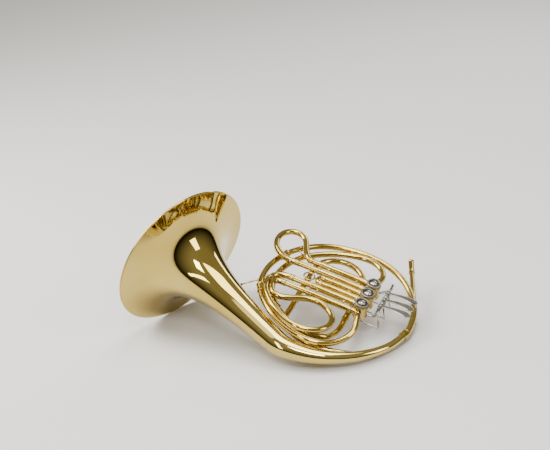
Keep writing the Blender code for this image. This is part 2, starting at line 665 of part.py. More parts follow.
def main():
    clear_scene()
    horn = bpy.data.objects.new("horn_frame", None)
    bpy.context.collection.objects.link(horn)
    tail = build_bell(horn)
    left, first = build_ring(horn, tail)
    build_lead(horn)
    build_tuning(horn)
    inlet = build_inlet(horn)
    for k in range(3):
        build_valve(horn, k)
    build_slides(horn)
    build_levers(horn)
    build_braces(horn, left, first, inlet)
    horn.rotation_euler = (LIE_ROLL, LIE_PITCH, 0.0)
    set_down(horn)


main()
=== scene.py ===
# %% [markdown]
# # A single french horn, lying on its bell's rim
#
# A horn is almost all round tube, so two ideas build nearly every piece: a circle swept along a smooth
# path, and a profile spun round an axis. Every length below is in millimetres in the horn's own frame:
# the big ring of tubing lies in XY with its centre at the origin, the valve caps face +Z and the bell
# opens towards -X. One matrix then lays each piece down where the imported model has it.

# %% Load the frame
import json
import math

import bmesh
import bpy
import numpy as np
from mathutils import Euler, Matrix, Vector


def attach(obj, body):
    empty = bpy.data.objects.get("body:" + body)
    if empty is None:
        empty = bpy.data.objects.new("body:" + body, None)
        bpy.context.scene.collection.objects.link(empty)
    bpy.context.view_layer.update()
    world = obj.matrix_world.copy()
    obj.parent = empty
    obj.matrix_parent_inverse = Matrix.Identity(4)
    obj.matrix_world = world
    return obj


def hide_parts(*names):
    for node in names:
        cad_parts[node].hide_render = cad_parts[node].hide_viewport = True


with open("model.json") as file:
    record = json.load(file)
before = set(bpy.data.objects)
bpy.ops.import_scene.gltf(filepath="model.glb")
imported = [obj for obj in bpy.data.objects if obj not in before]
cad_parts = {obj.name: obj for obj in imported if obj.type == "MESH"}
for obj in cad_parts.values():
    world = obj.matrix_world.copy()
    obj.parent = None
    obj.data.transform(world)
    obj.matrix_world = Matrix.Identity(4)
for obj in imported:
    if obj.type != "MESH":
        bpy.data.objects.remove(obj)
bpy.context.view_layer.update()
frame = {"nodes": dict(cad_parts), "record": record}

MM = 0.001

# %% [markdown]
# ## The horn's frame
#
# Paths are easiest to write where the ring is flat, but the real horn rests tilted on its bell's rim and
# its mouthpipe. So the tilt is applied last: the horn is turned 0.68 degrees about X and 18.95 degrees
# about Y, then moved so that the first rotor's axis meets the rotor joint's point in the record. The
# valve section and the tuning slide are turned in the ring's plane too, and each has its own helper.

# %% Frame and layout helpers
LIE = Euler((math.radians(0.68), math.radians(18.95), 0.0)).to_matrix()
VALVE_TURN = Matrix.Rotation(math.radians(22.0), 3, "Z")
TUNING_TURN = Matrix.Rotation(math.radians(-65.0), 3, "Z")
TUNING_OFFSET = -21.0
RING_Z = 13.0
INNER_Z = 12.0
TUNING_Z = -2.0
LEAD_Z = -3.0
PORT_Z = 29.0
VALVE_X = 56.0
VALVE_Y = (41.0, 9.5, -22.0)


def valve(x, y, z):
    """A point given in the valve section's turned frame."""
    return VALVE_TURN @ Vector((x, y, z))


def tuning(along, across, z=TUNING_Z):
    """A point given along and across the tuning slide's legs."""
    return TUNING_TURN @ Vector((along, across + TUNING_OFFSET, z))


def polar(degrees, radius, z):
    """A point given by its angle round the ring's centre."""
    angle = math.radians(degrees)
    return Vector((radius * math.cos(angle), radius * math.sin(angle), z))


joints = {joint["name"]: joint for joint in frame["record"]["behaviour"]["joints"]}
rotor_point = Vector(joints["rotor_1_spin"]["pos_m"])
SHIFT = rotor_point - LIE @ valve(VALVE_X, VALVE_Y[0], 0.0) * MM
HORN = Matrix.Translation(SHIFT) @ LIE.to_4x4() @ Matrix.Scale(MM, 4)
print("horn frame at", [round(v, 4) for v in SHIFT])

# %% [markdown]
# ## Camera
#
# A long lens from about two metres away keeps the ring's ellipse true, where a wide lens up close would swell
# the near tubes. It looks from above and in front of the mouthpipe side. Its three directions are given
# in the horn's own frame, so the view of the horn stays the same however the horn lies.

# %% Camera
RIGHT = Vector((0.6739, 0.7294, 0.1179))
UP = Vector((-0.5343, 0.3708, 0.7596))
BACK = Vector((0.5103, -0.5749, 0.6396))
view = Matrix([LIE @ v.normalized() for v in (RIGHT, UP, BACK)]).transposed().to_4x4()
view.translation = HORN @ Vector((966.3, -1300.2, 1512.7))
camera_data = bpy.data.cameras.new("camera")
camera_data.lens = 74.16
camera_data.sensor_width = 36.0
camera = bpy.data.objects.new("camera", camera_data)
camera.matrix_world = view
bpy.context.collection.objects.link(camera)
bpy.context.scene.camera = camera
print("camera at", [round(v, 3) for v in camera.location])

# %% [markdown]
# ## Metals
#
# The horn is yellow brass under clear lacquer, with trim in bare nickel silver. One flat colour with one
# roughness would look like plastic, so each metal drifts between two tones and its polish varies. All
# patterns read Object coordinates: each piece is built in place, so neighbouring tubes share one pattern.

# %% Colours and nodes


def colour(code):
    """An sRGB hex code as linear RGBA."""
    parts = [int(code[i:i + 2], 16) / 255.0 for i in (1, 3, 5)]
    return [p / 12.92 if p <= 0.04045 else ((p + 0.055) / 1.055) ** 2.4 for p in parts] + [1.0]


def add(tree, kind, settings, *wires):
    """A node with its input values by name, and the wires (output, input's name) that come into it."""
    node = tree.nodes.new(kind)
    for key, value in settings.items():
        node.inputs[key].default_value = value
    for output, key in wires:
        tree.links.new(output, node.inputs[key])
    return node


def set_ramp(node, *stops):
    """The two stops of a colour ramp, as (position, hex code)."""
    for element, (position, code) in zip(node.color_ramp.elements, stops):
        element.position = position
        element.color = colour(code)


print("brass light", [round(v, 3) for v in colour("#C8AE58")])

# %% [markdown]
# ### A polished metal
#
# The drift of tone is as wide as a rub of the cloth, so its size is given in millimetres. Real polishing
# marks lie about a tenth of a millimetre apart. That is too fine to show here, so they are drawn every
# few millimetres, where they make the highlights waver. A metal keeps the shader's own IOR.

# %% Polished metal
POLISH_MARK = 3.85
MARK_DEPTH = 0.4


def metal(name, dark, light, roughness, coat=0.0, patch=55.6, marks=0.02):
    """A metal between two tones that drift over patches this many millimetres wide."""
    mat = bpy.data.materials.new(name)
    mat.use_nodes = True
    tree = mat.node_tree
    place = add(tree, "ShaderNodeTexCoord", {}).outputs["Object"]
    drift = add(tree, "ShaderNodeTexNoise", {"Scale": 1.0 / (patch * MM), "Detail": 3.0}, (place, "Vector"))
    tones = add(tree, "ShaderNodeValToRGB", {}, (drift.outputs["Fac"], "Fac"))
    set_ramp(tones, (0.35, dark), (0.65, light))
    polish = add(tree, "ShaderNodeTexNoise", {"Scale": 1.0 / (POLISH_MARK * MM), "Detail": 4.0},
                 (place, "Vector"))
    haze = add(tree, "ShaderNodeMapRange", {"To Min": roughness * 0.75, "To Max": roughness * 1.3},
               (polish.outputs["Fac"], "Value"))
    bump = add(tree, "ShaderNodeBump", {"Strength": marks, "Distance": MARK_DEPTH * MM},
               (polish.outputs["Fac"], "Height"))
    shader = tree.nodes["Principled BSDF"]
    for key, value in (("Metallic", 1.0), ("Coat Weight", coat), ("Coat Roughness", 0.04)):
        shader.inputs[key].default_value = value
    tree.links.new(tones.outputs["Color"], shader.inputs["Base Color"])
    tree.links.new(haze.outputs["Result"], shader.inputs["Roughness"])
    tree.links.new(bump.outputs["Normal"], shader.inputs["Normal"])
    return mat


# Yellow brass tube, drawn, bent, buffed and lacquered: long bright streaks under a clear skin.
BRASS = metal("lacquered_brass_look", "#B0933C", "#C8AE58", 0.09, coat=0.4)
# Yellow brass sheet, spun thin, buffed and lacquered: broad clean mirrors, paler than the tubes.
BELL_BRASS = metal("bell_brass_look", "#B99F45", "#CDB563", 0.05, coat=0.4, patch=166.7, marks=0.006)
# Nickel silver, cast and hand polished, with no lacquer: warm grey, softened by fingers.
NICKEL = metal("nickel_silver_look", "#98938A", "#B9B4AA", 0.22, patch=25.0)
# Nickel silver turned on a lathe, dull with handling at the rim of a valve cap.
CAP_RIM = metal("cap_rim_look", "#7E776C", "#A09888", 0.36, patch=16.7, marks=0.05)
# Drawn spring steel and machined rods: a cooler grey with short highlights.
STEEL = metal("spring_steel_look", "#8C8A85", "#A8A5A0", 0.28, patch=16.7, marks=0.05)
# Nickel silver at the bottom of a turned groove, painted dark as the shade that falls in the groove.
GROOVE_SHADE = metal("groove_painted_shade_look", "#3A352C", "#4A4438", 0.45, patch=16.7)

# %% [markdown]
# ## Smooth paths
#
# A maker bends tube round a former, so its curvature changes gently. Bezier curves with automatic handles
# bulge where their points are uneven. A cubic spline through a few points bends as evenly as springy
# wire would, so each path is worked out with one and handed to Blender as a fine polyline.

# %% Paths


def smooth(points, start_dir=None, end_dir=None, step=2.5):
    """A cubic spline through the points, sampled every few millimetres."""
    pts = np.array([tuple(p) for p in points], dtype=float)
    gaps = np.linalg.norm(np.diff(pts, axis=0), axis=1)
    count = len(pts)
    system = np.zeros((count, count))
    right = np.zeros((count, 3))
    for i in range(1, count - 1):
        system[i, i - 1:i + 2] = (gaps[i], 2.0 * (gaps[i - 1] + gaps[i]), gaps[i - 1])
        right[i] = 3.0 * (gaps[i] * (pts[i] - pts[i - 1]) / gaps[i - 1]
                          + gaps[i - 1] * (pts[i + 1] - pts[i]) / gaps[i])
    system[0, :2] = (1.0, 0.0) if start_dir is not None else (2.0, 1.0)
    right[0] = start_dir if start_dir is not None else 3.0 * (pts[1] - pts[0]) / gaps[0]
    system[-1, -2:] = (0.0, 1.0) if end_dir is not None else (1.0, 2.0)
    right[-1] = end_dir if end_dir is not None else 3.0 * (pts[-1] - pts[-2]) / gaps[-1]
    slopes = np.linalg.solve(system, right)
    path = []
    for i, gap in enumerate(gaps):
        pieces = max(1, round(gap / step))
        for t in (k / pieces for k in range(pieces)):
            rise = 3 * t ** 2 - 2 * t ** 3
            leave = t ** 3 - 2 * t ** 2 + t
            arrive = t ** 3 - t ** 2
            path.append(Vector((1 - rise) * pts[i] + rise * pts[i + 1]
                               + gap * (leave * slopes[i] + arrive * slopes[i + 1])))
    return path + [Vector(pts[-1])]


def arc(place, centre, radius, start, end, z, step=7.5):
    """Points on an arc in a flat frame, from one angle in degrees to another."""
    count = max(2, round(abs(end - start) / step))
    angles = [math.radians(start + (end - start) * i / count) for i in range(count + 1)]
    return [place(centre[0] + radius * math.cos(a), centre[1] + radius * math.sin(a), z) for a in angles]


print("a quarter turn has", len(arc(valve, (0, 0), 10, 0, 90, 0)), "points")

# %% [markdown]
# ## Tubes
#
# A tube could be a mesh, extruded ring by ring. A curve with a round bevel needs only its path, and the
# radius of each point gives the tapers. Its ends stay open where a sleeve or a neighbour hides them.
# Each piece is then told which body it rides on and which nodes it stands for.

# %% Tube maker


def declare(obj, body, nodes):
    """The piece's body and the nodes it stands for."""
    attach(obj, body)
    if nodes:
        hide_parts(*nodes)
    return obj


def tube(name, path, radius, mat=BRASS, body="horn_body", nodes=(), closed=False, sides=8, caps=False):
    """A round bar along the path. The radius is a number, or a function of 0 to 1 along it."""
    radius_at = radius if callable(radius) else (lambda share: radius)
    total = [0.0]
    for a, b in zip(path, path[1:]):
        total.append(total[-1] + (b - a).length)
    curve = bpy.data.curves.new(name, "CURVE")
    curve.dimensions = "3D"
    curve.bevel_depth = MM
    curve.bevel_resolution = sides
    curve.use_fill_caps = caps
    spline = curve.splines.new("POLY")
    spline.points.add(len(path) - 1)
    spline.use_cyclic_u = closed
    for point, where, along in zip(spline.points, path, total):
        point.co = (*(HORN @ where), 1.0)
        point.radius = radius_at(along / total[-1])
    curve.materials.append(mat)
    obj = bpy.data.objects.new(name, curve)
    bpy.context.collection.objects.link(obj)
    return declare(obj, body, nodes)


print("tube maker ready")

# %% [markdown]
# ## Turned pieces
#
# Caps, ferrules, stays and the bell itself are made on a lathe. Blender's spin operator does the same: a
# profile goes once round an axis. A live Bevel rounds the crisp edges so that they catch the light. The
# thinnest pieces have no bevel, and keep their hard edges by angle instead.

# %% Lathe


def piece(name, bm, mat, body="horn_body", nodes=(), soften=0.25, angle=30.0):
    """An object from a mesh that is in horn millimetres, with its crisp edges rounded."""
    bmesh.ops.remove_doubles(bm, verts=bm.verts, dist=0.0005)
    bmesh.ops.transform(bm, matrix=HORN, verts=bm.verts)
    bmesh.ops.recalc_face_normals(bm, faces=bm.faces)
    mesh = bpy.data.meshes.new(name)
    bm.to_mesh(mesh)
    bm.free()
    mesh.materials.append(mat)
    mesh.shade_smooth()
    if not soften:
        mesh.set_sharp_from_angle(angle=math.radians(angle))
    obj = bpy.data.objects.new(name, mesh)
    bpy.context.collection.objects.link(obj)
    if soften:
        edge = obj.modifiers.new("rounded", "BEVEL")
        edge.width = soften * MM
        edge.segments = 2
        edge.limit_method = "ANGLE"
        edge.angle_limit = math.radians(angle)
        edge.harden_normals = True
    return declare(obj, body, nodes)


def turned(name, origin, axis, profile, mat, sides=48, **more):
    """A profile of (along, radius) points spun about the axis; it closes on itself or ends on the axis."""
    bm = bmesh.new()
    axis = axis.normalized()
    side = axis.orthogonal().normalized()
    verts = [bm.verts.new(origin + axis * along + side * radius) for along, radius in profile]
    edges = [bm.edges.new(pair) for pair in zip(verts, verts[1:])]
    if profile[0][1] > 0:
        edges.append(bm.edges.new((verts[-1], verts[0])))
    bmesh.ops.spin(bm, geom=verts + edges, cent=origin, axis=axis, angle=2.0 * math.pi, steps=sides,
                   use_merge=True)
    bmesh.ops.remove_doubles(bm, verts=bm.verts, dist=0.001)
    return piece(name, bm, mat, **more)


print("lathe ready")

# %% [markdown]
# ## Bands, collars and stays
#
# Tubes are soldered inside sleeves with a bead at each end, rings stiffen the open ends of the slides, and
# turned stays with flared feet hold everything apart. They differ only in length and radius, so each is
# one profile with a few numbers, and every copy comes from it.

# %% Fittings


def band(name, middle, axis, tube_radius, length, mat=BRASS, proud=1.6, **more):
    """A sleeve over a tube, with a raised bead at each end."""
    half = length / 2.0
    low, high = tube_radius - 0.3, tube_radius + proud
    end = [(half, low), (half, high - 0.3), (half - 0.5, high + 0.3), (half - 1.4, high + 0.3),
           (half - 2.0, high - 0.3), (half - 2.8, high - 0.4)]
    profile = [(-along, radius) for along, radius in end] + end[::-1]
    return turned(name, middle, axis, profile, mat, **more)


def collar(name, middle, axis, radius, width=2.2, proud=0.9, mat=BRASS, **more):
    """A thin ring round a tube, rounded over."""
    half = width / 2.0
    profile = [(-half, radius - 0.4), (-half, radius + proud * 0.5), (-half * 0.5, radius + proud),
               (half * 0.5, radius + proud), (half, radius + proud * 0.5), (half, radius - 0.4)]
    return turned(name, middle, axis, profile, mat, soften=0, **more)


def stay(name, start, end, radius=1.6, foot=4.0, mat=BRASS, **more):
    """A turned stay with a flared foot at each end and, where it is long, a small ring in the middle."""
    length = (end - start).length
    middle = length / 2.0
    profile = [(0, 0), (0, foot), (0.8, foot * 0.85), (2.0, radius * 1.3), (3.2, radius)]
    if length > 12.0:
        profile += [(middle - 1.6, radius), (middle - 0.9, radius * 1.6), (middle + 0.9, radius * 1.6),
                    (middle + 1.6, radius)]
    profile += [(length - 3.2, radius), (length - 2.0, radius * 1.3), (length - 0.8, foot * 0.85),
                (length, foot), (length, 0)]
    return turned(name, start, end - start, profile, mat, sides=24, **more)


print("fittings ready")

# %% [markdown]
# ## Bell
#
# The bell is sheet brass, spun until it is under a millimetre thick, so both of its faces show. Its
# profile could be drawn as a curve, but a bell's radius falls off as a power of the distance behind the
# rim, so one formula gives it, with rings packed where it bends hardest. A rolled bead closes the rim.

# %% Bell
RIM_R = 151.4
RIM_X = -276.0
BELL_WALL = 0.7
FLARE_SCALE = 22.0
FLARE_POWER = 0.72
BEAD_R = 1.95
BEAD_AHEAD = 2.2
BELL_RINGS = 72
BELL_RIM = Vector((RIM_X, -160.0, 0.0))
BELL_THROAT = Vector((0.0, -162.0, -8.0))
bell_axis = BELL_THROAT - BELL_RIM


def flare(behind):
    """The bell's radius at a distance behind its rim."""
    return RIM_R * (FLARE_SCALE / (behind + FLARE_SCALE)) ** FLARE_POWER


behind = [bell_axis.length * (i / BELL_RINGS) ** 2.0 for i in range(BELL_RINGS + 1)]
outer = [(d, flare(d)) for d in behind]
inner = [(d, flare(d) - BELL_WALL) for d in reversed(behind)]
turned("bell", BELL_RIM, bell_axis, outer + inner, BELL_BRASS, sides=128, nodes=["bell_flare"], soften=0)
bead = [(-BEAD_AHEAD + BEAD_R * math.cos(a), RIM_R - BEAD_R * math.sin(a))
        for a in (2.0 * math.pi * k / 14 for k in range(14))]
turned("bell_bead", BELL_RIM, bell_axis, bead, BRASS, sides=128, nodes=["bell_rim_bead"], soften=0)
print("bell's throat radius", round(flare(-RIM_X), 1))

# %% [markdown]
# ### Tail
#
# The tail is rolled from sheet, soldered along its length and bent round the ring. It can't be spun, so
# it is a tube whose radius narrows along its path, and it starts along the flare's own axis.

# %% Bell tail
TAIL_NARROW = 6.8
TAIL_EASE = 0.06


def tail_radius(share):
    """The tail's radius from the bell's throat to the first branch: quick at first, then slow."""
    wide = flare(-RIM_X)
    eased = share * share / (share + TAIL_EASE) * (1.0 + TAIL_EASE)
    return TAIL_NARROW * (wide / TAIL_NARROW) ** ((1.0 - 0.4 * share - 0.6 * eased) ** 1.3)


tail = smooth([BELL_THROAT, polar(-75, 157.5, -6), polar(-60, 153, -2), polar(-45, 150, 2.5),
               polar(-30, 149.3, 6), polar(-18, 149.5, 8.5), polar(-3, 151, 11), polar(13, 152, INNER_Z)],
              start_dir=bell_axis.normalized())
tube("tail", tail, tail_radius, BELL_BRASS, nodes=["bell_tail"], sides=14)
print("tail", len(tail), "points")

# %% [markdown]
# ## Ring of tubing
#
# The tube that leaves the last valve drops to the ring's plane, goes up the left side and closes the
# ring. Each length ends where the real one is joined, and the next one starts in the direction in which
# it stopped, so the sleeve over the joint hides no kink.

# %% Ring
BRANCH_R = 6.0
BAND_LENGTH = 20.0
BELL_BAND_LENGTH = 16.0
outlet = smooth([valve(VALVE_X, VALVE_Y[2] - 15.3, PORT_Z), Vector((75, -26, 27.5)), Vector((87, -44, 22)),
                 Vector((89, -66, 16)), Vector((82, -90, RING_Z)), polar(-58, 131, RING_Z),
                 polar(-71, 135, RING_Z), polar(-86, 136.5, RING_Z), polar(-101, 139.5, 14),
                 polar(-114, 142, 14), polar(-127, 146.5, RING_Z), polar(-136, 149.5, RING_Z)],
                start_dir=valve(0.25, -1, 0))
tube("outlet_tube", outlet, BRANCH_R, nodes=["valve_outlet_tube"])
left = smooth([polar(-136, 149.5, RING_Z), polar(-146, 151.5, RING_Z), polar(-158, 152, RING_Z),
               polar(-169, 151.5, RING_Z), polar(180, 151, RING_Z)],
              start_dir=(outlet[-1] - outlet[-2]).normalized(), end_dir=Vector((0, 1, 0)))
tube("left_branch", left, BRANCH_R, nodes=["second_branch"])
first = smooth([polar(180, 151, RING_Z), polar(163, 150, RING_Z), polar(147, 150, INNER_Z),
                polar(130, 148.5, INNER_Z), polar(115, 148, INNER_Z), polar(99, 149.5, INNER_Z),
                polar(84, 151.5, INNER_Z), polar(69, 151.5, INNER_Z), polar(55, 151, INNER_Z),
                polar(40, 151.5, INNER_Z), polar(26, 152, INNER_Z), polar(13, 152, INNER_Z)],
               start_dir=Vector((0, 1, 0)), end_dir=(tail[-2] - tail[-1]).normalized())
tube("upper_branch", first, lambda t: 5.9 + 0.9 * t, nodes=["first_branch"])
band("outlet_band", outlet[-1], left[1] - outlet[-2], BRANCH_R, BAND_LENGTH, nodes=["outlet_ferrule"])
band("branch_band", left[-1], first[1] - left[-2], BRANCH_R, BAND_LENGTH, nodes=["branch_ferrule"])
band("bell_band", first[-1], tail[-2] - first[-2], 7.0, BELL_BAND_LENGTH, nodes=["bell_ferrule"])
print("ring", len(outlet), len(left), len(first))

# %% [markdown]
# ## Mouthpipe
#
# The mouthpiece goes into a turned receiver with raised rings and a tapered bore. The bore can be seen
# from the end, so the receiver's profile runs down the outside and back along the bore.

# %% Receiver
TUNING_R = 52.0
SLEEVE_TOP = 34.0
MOUTHPIPE_R = 5.0
RECEIVER_SEAT = 33.2
mouth = Vector((4, 218, LEAD_Z))
meets = polar(51, 156.5, LEAD_Z)
straight = (meets - mouth).normalized()
receiver = [(0, 4.6), (0, 6.0), (0.8, 6.4), (2.6, 6.4), (3.6, 5.8), (6, 5.7), (24, 5.9), (29.5, 5.9),
            (30.5, 6.3), (32, 6.3), (32.6, 5.8), (34, 5.8), (35, 6.3), (37.6, 6.3), (38, 5.8), (38, 4.6),
            (32.6, 4.6), (32.6, 3.6), (24, 3.6)]
turned("receiver", mouth, straight, receiver, BRASS, nodes=["mouthpiece_receiver"], soften=0.15)
print("receiver", receiver[-4][0], "mm long")

# %% [markdown]
# ### Straight run and lead tube
#
# Behind the receiver a straight pipe passes under the ring, then follows it to the tuning slide. It widens
# slowly, because the horn's sound depends on that, so its radius is a function of the way along it.

# %% Mouthpipe
run = smooth([mouth + straight * RECEIVER_SEAT, mouth.lerp(meets, 0.6), meets, polar(36, 153.5, LEAD_Z)],
             start_dir=straight)
tube("mouthpipe_run", run, lambda t: MOUTHPIPE_R - 0.6 * max(0.0, 0.35 - t), nodes=["mouthpipe"])
slide_down = tuning(-1, 0, 0) - tuning(0, 0, 0)
low = smooth([polar(36, 153.5, LEAD_Z), polar(20, 150, LEAD_Z), polar(6, 146, LEAD_Z),
              polar(-8, 142, LEAD_Z), polar(-20, 138.5, LEAD_Z), polar(-35, 133, LEAD_Z),
              polar(-50, 129, LEAD_Z), polar(-65, 127, -3.5), polar(-80, 126, -4.5), polar(-91, 122.5, -4),
              tuning(88, -TUNING_R + 1, -3), tuning(SLEEVE_TOP + 24, -TUNING_R),
              tuning(SLEEVE_TOP, -TUNING_R)],
             start_dir=(run[-1] - run[-2]).normalized(), end_dir=slide_down)
tube("lead", low, lambda t: 4.65 + 1.2 * min(1.0, t * 1.6), nodes=["lead_tube"])
band("mouthpipe_band", run[-1], low[1] - run[-2], MOUTHPIPE_R, 14.0, nodes=["mouthpipe_ferrule"])
print("mouthpipe", len(run), len(low))

# %% [markdown]
# ## Slides
#
# Each slide is a bend with two inner legs that run inside fixed outer tubes, and it is pulled out to tune.
# The outer tubes are hollow, so they are spun with a wall and a ring at the mouth. The legs are drawn
# inside them too, so that nothing is missing when a slide is out.

# %% Slide makers
LEG_R = 5.6
BEND_R = 6.2
SLEEVE_R = 6.5
SLEEVE_BORE = 5.95
SLIDE_Y = ((52.6, 32.6), (17.6, 1.6), (-12.9, -33.4))
SLEEVE_START = 40.6
SLEEVE_END = (-58.0, -22.0, -52.0)
LEG_INNER = (-8.0, 32.0, -14.0)
MOUTH_RING = 0.55
OUTWARD = valve(-1, 0, 0)


def sleeve(name, start, end, nodes):
    """An outer slide tube, open at its end, with a ring there."""
    axis = end - start
    length = axis.length
    ring = SLEEVE_R + MOUTH_RING
    profile = [(0, SLEEVE_BORE), (0, SLEEVE_R), (length - 5.0, SLEEVE_R), (length - 4.2, ring),
               (length - 0.6, ring), (length, SLEEVE_R + 0.1), (length, SLEEVE_BORE)]
    turned(name, start, axis, profile, BRASS, nodes=nodes, soften=0.12)


def slide(k, name, upper_end, lower_end, bend):
    """A valve slide: its bend, its two legs with a band on each, and the two outer tubes."""
    body = f"{name}_slide_body"
    rows = (("upper", SLIDE_Y[k][0], upper_end), ("lower", SLIDE_Y[k][1], lower_end))
    start, finish = (valve(at, y, PORT_Z) for _, y, at in rows)
    curve = smooth([start] + bend + [finish], start_dir=OUTWARD, end_dir=-OUTWARD)
    tube(f"{name}_slide_bend", curve, BEND_R, body=body, nodes=[f"{name}_valve_slide"])
    for side, y, at in rows:
        tube(f"{name}_slide_leg_{side}", [valve(LEG_INNER[k], y, PORT_Z), valve(at, y, PORT_Z)], LEG_R,
             body=body)
        band(f"{name}_slide_band_{side}", valve(at - 1.0, y, PORT_Z), OUTWARD, BEND_R, 9.0, proud=0.5,
             body=body)
    for side, y, _ in rows:
        sleeve(f"{name}_sleeve_tube_{side}", valve(SLEEVE_START, y, PORT_Z),
               valve(SLEEVE_END[k], y, PORT_Z), [f"{name}_sleeve_{side}"])
    return curve


print("slide makers ready")

# %% [markdown]
# ### First slide
#
# The first slide lengthens the horn by a tone. Its bend swings out past the ring in a wide round loop, so
# its points are given one by one in the horn's frame and the spline joins them.

# %% First slide
first_loop = [(-112, 24), (-127, 36), (-140, 48), (-155, 56), (-171, 56), (-183, 46), (-188, 30),
              (-184, 12), (-173, -3), (-157, -13), (-138, -17), (-119, -14.5)]
slide(0, "first", -80.0, -101.0, [Vector((x, y, PORT_Z)) for x, y in first_loop])
print("first slide done")

# %% [markdown]
# ### Second slide
#
# The second slide is the shortest, as it lowers the horn by only half a tone. Its bend is a half circle
# between its legs, so an arc gives it. There is no room to grip it, so it has a ring to pull it by.

# %% Second slide
SECOND_BEND_X = -38.0
PULL_RING_X = -66.0
PULL_RING_R = 10.6
PULL_WIRE_R = 1.6
upper, lower = SLIDE_Y[1]
middle = (upper + lower) / 2.0
half_circle = arc(valve, (SECOND_BEND_X, middle), (upper - lower) / 2.0, 90.0, 270.0, PORT_Z)
slide(1, "second", SECOND_BEND_X, SECOND_BEND_X, half_circle[1:-1])
tube("finger_ring", arc(valve, (PULL_RING_X, middle), PULL_RING_R, 0.0, 360.0, PORT_Z)[:-1], PULL_WIRE_R,
     body="second_slide_body", nodes=["pull_ring"], closed=True)
stay("finger_ring_post", valve(PULL_RING_X + 15.5, middle, PORT_Z),
     valve(PULL_RING_X + PULL_RING_R + 1.0, middle, PORT_Z), radius=1.7, foot=2.6, body="second_slide_body")
print("second slide", round(upper - lower, 1), "mm wide")

# %% [markdown]
# ### Third slide
#
# The third slide lengthens the horn most, by a tone and a half. All that tube has to fit inside the ring,
# so it goes round in a snail before it comes back. A band hides a joint on the snail's outer side, and
# it is placed at the path's own point nearest to that joint.

# %% Third slide
third_loop = [(-100, -58), (-106.5, -70), (-106.5, -84), (-100, -97.5), (-89, -109.5), (-75, -118.5),
              (-57, -126), (-40, -130.5), (-21, -134), (-3, -135), (16, -132), (33, -124), (47, -111),
              (55, -94), (54, -77), (46, -63.5), (33, -54.5), (17, -50.5), (0, -51.5), (-13, -57),
              (-25, -67), (-38, -83), (-51, -97), (-63, -104), (-76, -103.5), (-86, -97), (-93, -88.5),
              (-94, -79.5)]
snail = slide(2, "third", -92.0, -100.0, [Vector((x, y, PORT_Z)) for x, y in third_loop])
ring_at = min(range(len(snail)), key=lambda i: (snail[i] - Vector((-106, -84, PORT_Z))).length)
band("third_slide_joint", snail[ring_at], snail[ring_at + 1] - snail[ring_at - 1], BEND_R, 7.0, proud=0.8,
     body="third_slide_body")
print("third slide", len(snail), "points")

# %% [markdown]
# ### Tuning slide
#
# The main tuning slide is a half circle as wide as its two legs are apart. It lies lower than the valve
# slides and turned to them, in a frame of its own, and pulls out towards the ring's upper left.

# %% Tuning slide
CROOK_START = -68.0
TUNING_SLEEVE_END = -40.0
crook = arc(tuning, (CROOK_START, 0.0), TUNING_R, 270.0, 90.0, TUNING_Z)
legs = [tuning(SLEEVE_TOP - 12, across) for across in (-TUNING_R, TUNING_R)]
bow = smooth(crook, start_dir=(crook[0] - legs[0]).normalized(), end_dir=(legs[1] - crook[-1]).normalized())
tube("tuning_crook", bow, BEND_R, body="tuning_slide_body", nodes=["tuning_slide"])
for leg, end, name in ((legs[0], bow[0], "lead"), (legs[1], bow[-1], "outlet")):
    tube(f"tuning_leg_{name}", [leg, end], LEG_R, body="tuning_slide_body")
for name, across in (("lead", -TUNING_R), ("outlet", TUNING_R)):
    sleeve(f"tuning_{name}_tube", tuning(SLEEVE_TOP - 0.3, across), tuning(TUNING_SLEEVE_END, across),
           [f"tuning_sleeve_{name}"])
    band(f"tuning_band_{name}", tuning(CROOK_START, across), slide_down, BEND_R, 10.0, proud=0.5,
         body="tuning_slide_body")
    collar(f"tuning_collar_{name}", tuning(SLEEVE_TOP - 3.0, across), slide_down, SLEEVE_R)
print("slides done")

# %% [markdown]
# ## From the tuning slide to the valves
#
# From the tuning slide the tube turns back inside the ring, goes up the left side beside the branches and
# arches over to the first valve. On its way it rises from the slide's level to that of the valve ports,
# so its points carry a height each, and the spline makes one gentle climb of them.

# %% Inlet tubing
bow_out = smooth([tuning(SLEEVE_TOP, TUNING_R), tuning(SLEEVE_TOP + 12, TUNING_R), Vector((60, -70, 2)),
                  Vector((58, -88, 6)), Vector((45, -105, 10)), polar(-77, 119, INNER_Z),
                  polar(-90, 121, INNER_Z), polar(-103, 122, INNER_Z), polar(-118, 124, INNER_Z)],
                 start_dir=-slide_down)
tube("outlet_bow", bow_out, BRANCH_R, nodes=["slide_outlet_bow"])
inlet = smooth([polar(-118, 124, INNER_Z), polar(-132, 126, INNER_Z), polar(-147, 127.5, INNER_Z),
                polar(-163, 128, INNER_Z), polar(180, 127, INNER_Z), polar(167, 126.5, 12.5),
                Vector((-110, 55, 14.5)), Vector((-86, 86, 17.5)), Vector((-58, 109, 20.5)),
                Vector((-28, 122, 23.5)), Vector((-2, 121, 26)), Vector((17, 110, 28)),
                Vector((28, 91, PORT_Z)), valve(VALVE_X, VALVE_Y[0] + 14.9, PORT_Z)],
               start_dir=(bow_out[-1] - bow_out[-2]).normalized(), end_dir=valve(0.1, -1, 0))
tube("inlet_tube", inlet, BRANCH_R, nodes=["valve_inlet_tube"])
band("inlet_band", bow_out[-1], inlet[1] - bow_out[-2], BRANCH_R, BAND_LENGTH, nodes=["inlet_ferrule"])
print("inlet", len(bow_out), len(inlet))
